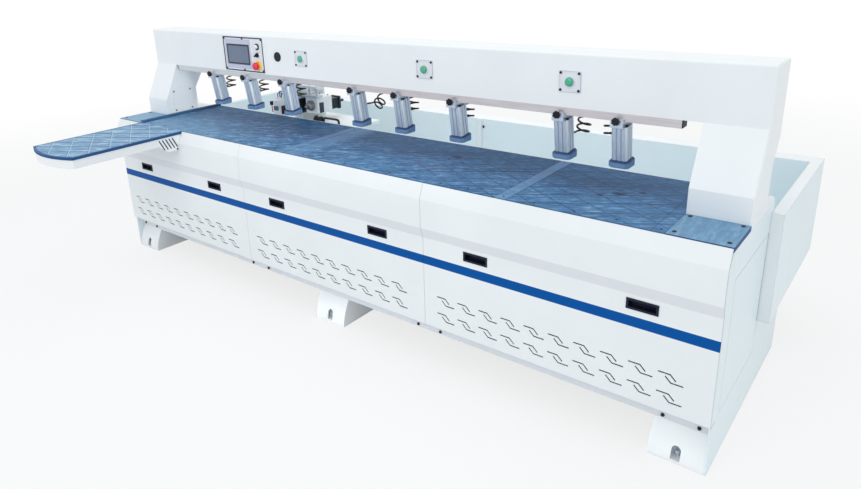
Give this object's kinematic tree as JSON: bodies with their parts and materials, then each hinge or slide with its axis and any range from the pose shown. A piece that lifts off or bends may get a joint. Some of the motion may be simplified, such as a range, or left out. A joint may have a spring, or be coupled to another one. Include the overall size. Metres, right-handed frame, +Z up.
{
  "type": "cnc side hole drilling machine",
  "caption": "Long bench machine that drills holes into panel edges: flat table, gantry with pneumatic clamps, control panel, front support arm, rear trough and a traversing drill carriage.",
  "frame": {"origin": "centre of the bounding box on the floor", "axes": "+X along the bed to the right as the operator sees it, -Y towards the operator, +Z up"},
  "size_m": [3.586, 2.0349, 1.338],
  "materials": {
    "white_paint": "gloss",
    "table_laminate": "satin",
    "base_plate": "satin",
    "aluminium": "satin",
    "steel": "satin",
    "dark_steel": "matte",
    "black_plastic": "matte",
    "hose_black": "matte",
    "pad_rubber": "matte",
    "panel_grey": "satin",
    "screen_glass": "gloss",
    "yellow_plastic": "gloss",
    "red_plastic": "gloss",
    "green_plastic": "gloss",
    "navy_plastic": "gloss"
  },
  "bodies": {
    "bed": {"base_feet": "white_paint", "levelling_bolts": "dark_steel", "bed_frame": "white_paint", "side_panels": "white_paint", "access_covers": "white_paint", "front_covers": "white_paint", "pull_handles": "black_plastic", "table_boards": "table_laminate", "column_base_plates": "base_plate", "side_fence": "dark_steel", "arm_casing": "white_paint", "arm_board": "table_laminate", "gantry_columns": "white_paint", "gantry_beam": "white_paint", "column_cover": "white_paint", "clamp_rail": "aluminium", "control_panel": "panel_grey", "touch_screen": "screen_glass", "switch_collars": "yellow_plastic", "button_plates": "panel_grey", "beam_plug": "navy_plastic", "rear_trough": "white_paint", "x_rails": "steel", "air_hoses": "hose_black"},
    "clamp_1": {"clamp_1_body": "aluminium"},
    "clamp_1_screw": {"clamp_1_knob": "black_plastic"},
    "clamp_1_piston": {"clamp_1_pad": "pad_rubber"},
    "clamp_2": {"clamp_2_body": "aluminium"},
    "clamp_2_screw": {"clamp_2_knob": "black_plastic"},
    "clamp_2_piston": {"clamp_2_pad": "pad_rubber"},
    "clamp_3": {"clamp_3_body": "aluminium"},
    "clamp_3_screw": {"clamp_3_knob": "black_plastic"},
    "clamp_3_piston": {"clamp_3_pad": "pad_rubber"},
    "clamp_4": {"clamp_4_body": "aluminium"},
    "clamp_4_screw": {"clamp_4_knob": "black_plastic"},
    "clamp_4_piston": {"clamp_4_pad": "pad_rubber"},
    "clamp_5": {"clamp_5_body": "aluminium"},
    "clamp_5_screw": {"clamp_5_knob": "black_plastic"},
    "clamp_5_piston": {"clamp_5_pad": "pad_rubber"},
    "clamp_6": {"clamp_6_body": "aluminium"},
    "clamp_6_screw": {"clamp_6_knob": "black_plastic"},
    "clamp_6_piston": {"clamp_6_pad": "pad_rubber"},
    "clamp_7": {"clamp_7_body": "aluminium"},
    "clamp_7_screw": {"clamp_7_knob": "black_plastic"},
    "clamp_7_piston": {"clamp_7_pad": "pad_rubber"},
    "clamp_8": {"clamp_8_body": "aluminium"},
    "clamp_8_screw": {"clamp_8_knob": "black_plastic"},
    "clamp_8_piston": {"clamp_8_pad": "pad_rubber"},
    "saddle": {"drill_saddle": "white_paint", "valve_block": "panel_grey", "drive_motor": "black_plastic"},
    "lift": {"lift_slide": "dark_steel"},
    "spindle": {"spindle_motor": "white_paint"},
    "chuck": {"drill_chuck": "steel"},
    "power_cap": {"power_button": "panel_grey"},
    "estop_cap": {"estop_button": "red_plastic"},
    "selector": {"selector_knob": "black_plastic"},
    "start_cap_1": {"start_button_1": "green_plastic"},
    "start_cap_2": {"start_button_2": "green_plastic"},
    "start_cap_3": {"start_button_3": "green_plastic"}
  },
  "joints": [
    {"name": "clamp_1_slide", "type": "slide", "parent": "bed", "child": "clamp_1", "axis": [1, 0, 0], "range_m": [-0.07, 0.07], "deforming": ["air_hoses"]},
    {"name": "clamp_1_turn", "type": "hinge", "parent": "clamp_1", "child": "clamp_1_screw", "pos_m": [-1.19, -0.0635, 1.104], "axis": [0, 1, 0], "range_deg": [-180, 180]},
    {"name": "clamp_1_press", "type": "slide", "parent": "clamp_1", "child": "clamp_1_piston", "axis": [0, 0.1495, -0.9888], "range_m": [0, 0.075]},
    {"name": "clamp_2_slide", "type": "slide", "parent": "bed", "child": "clamp_2", "axis": [1, 0, 0], "range_m": [-0.07, 0.07], "deforming": ["air_hoses"]},
    {"name": "clamp_2_turn", "type": "hinge", "parent": "clamp_2", "child": "clamp_2_screw", "pos_m": [-0.889, -0.0635, 1.104], "axis": [0, 1, 0], "range_deg": [-180, 180]},
    {"name": "clamp_2_press", "type": "slide", "parent": "clamp_2", "child": "clamp_2_piston", "axis": [0, 0.1495, -0.9888], "range_m": [0, 0.075]},
    {"name": "clamp_3_slide", "type": "slide", "parent": "bed", "child": "clamp_3", "axis": [1, 0, 0], "range_m": [-0.07, 0.07], "deforming": ["air_hoses"]},
    {"name": "clamp_3_turn", "type": "hinge", "parent": "clamp_3", "child": "clamp_3_screw", "pos_m": [-0.578, -0.0635, 1.104], "axis": [0, 1, 0], "range_deg": [-180, 180]},
    {"name": "clamp_3_press", "type": "slide", "parent": "clamp_3", "child": "clamp_3_piston", "axis": [0, 0.1495, -0.9888], "range_m": [0, 0.075]},
    {"name": "clamp_4_slide", "type": "slide", "parent": "bed", "child": "clamp_4", "axis": [1, 0, 0], "range_m": [-0.07, 0.07], "deforming": ["air_hoses"]},
    {"name": "clamp_4_turn", "type": "hinge", "parent": "clamp_4", "child": "clamp_4_screw", "pos_m": [-0.077, -0.0635, 1.104], "axis": [0, 1, 0], "range_deg": [-180, 180]},
    {"name": "clamp_4_press", "type": "slide", "parent": "clamp_4", "child": "clamp_4_piston", "axis": [0, 0.1495, -0.9888], "range_m": [0, 0.075]},
    {"name": "clamp_5_slide", "type": "slide", "parent": "bed", "child": "clamp_5", "axis": [1, 0, 0], "range_m": [-0.07, 0.07], "deforming": ["air_hoses"]},
    {"name": "clamp_5_turn", "type": "hinge", "parent": "clamp_5", "child": "clamp_5_screw", "pos_m": [0.198, -0.0635, 1.104], "axis": [0, 1, 0], "range_deg": [-180, 180]},
    {"name": "clamp_5_press", "type": "slide", "parent": "clamp_5", "child": "clamp_5_piston", "axis": [0, 0.1495, -0.9888], "range_m": [0, 0.075]},
    {"name": "clamp_6_slide", "type": "slide", "parent": "bed", "child": "clamp_6", "axis": [1, 0, 0], "range_m": [-0.07, 0.07], "deforming": ["air_hoses"]},
    {"name": "clamp_6_turn", "type": "hinge", "parent": "clamp_6", "child": "clamp_6_screw", "pos_m": [0.512, -0.0635, 1.104], "axis": [0, 1, 0], "range_deg": [-180, 180]},
    {"name": "clamp_6_press", "type": "slide", "parent": "clamp_6", "child": "clamp_6_piston", "axis": [0, 0.1495, -0.9888], "range_m": [0, 0.075]},
    {"name": "clamp_7_slide", "type": "slide", "parent": "bed", "child": "clamp_7", "axis": [1, 0, 0], "range_m": [-0.07, 0.07], "deforming": ["air_hoses"]},
    {"name": "clamp_7_turn", "type": "hinge", "parent": "clamp_7", "child": "clamp_7_screw", "pos_m": [1.013, -0.0635, 1.104], "axis": [0, 1, 0], "range_deg": [-180, 180]},
    {"name": "clamp_7_press", "type": "slide", "parent": "clamp_7", "child": "clamp_7_piston", "axis": [0, 0.1495, -0.9888], "range_m": [0, 0.075]},
    {"name": "clamp_8_slide", "type": "slide", "parent": "bed", "child": "clamp_8", "axis": [1, 0, 0], "range_m": [-0.07, 0.07], "deforming": ["air_hoses"]},
    {"name": "clamp_8_turn", "type": "hinge", "parent": "clamp_8", "child": "clamp_8_screw", "pos_m": [1.247, -0.0635, 1.104], "axis": [0, 1, 0], "range_deg": [-180, 180]},
    {"name": "clamp_8_press", "type": "slide", "parent": "clamp_8", "child": "clamp_8_piston", "axis": [0, 0.1495, -0.9888], "range_m": [0, 0.075]},
    {"name": "saddle_x", "type": "slide", "parent": "bed", "child": "saddle", "axis": [1, 0, 0], "range_m": [-0.64, 2.16]},
    {"name": "lift_z", "type": "slide", "parent": "saddle", "child": "lift", "axis": [0, 0, 1], "range_m": [-0.045, 0.015]},
    {"name": "feed_y", "type": "slide", "parent": "lift", "child": "spindle", "axis": [0, -1, 0], "range_m": [0, 0.045]},
    {"name": "chuck_spin", "type": "hinge", "parent": "spindle", "child": "chuck", "pos_m": [-0.737, 0.3005, 0.896], "axis": [0, -1, 0], "continuous": true},
    {"name": "power_press", "type": "slide", "parent": "bed", "child": "power_cap", "axis": [0, 1, 0], "range_m": [0, 0.004], "stiffness_N_per_m": 600},
    {"name": "estop_press", "type": "slide", "parent": "bed", "child": "estop_cap", "axis": [0, 1, 0], "range_m": [0, 0.005]},
    {"name": "selector_turn", "type": "hinge", "parent": "bed", "child": "selector", "pos_m": [-0.753, -0.0475, 1.233], "axis": [0, -1, 0], "range_deg": [-45, 45]},
    {"name": "start_1_press", "type": "slide", "parent": "bed", "child": "start_cap_1", "axis": [0, 1, 0], "range_m": [0, 0.004], "stiffness_N_per_m": 600},
    {"name": "start_2_press", "type": "slide", "parent": "bed", "child": "start_cap_2", "axis": [0, 1, 0], "range_m": [0, 0.004], "stiffness_N_per_m": 600},
    {"name": "start_3_press", "type": "slide", "parent": "bed", "child": "start_cap_3", "axis": [0, 1, 0], "range_m": [0, 0.004], "stiffness_N_per_m": 600}
  ]
}
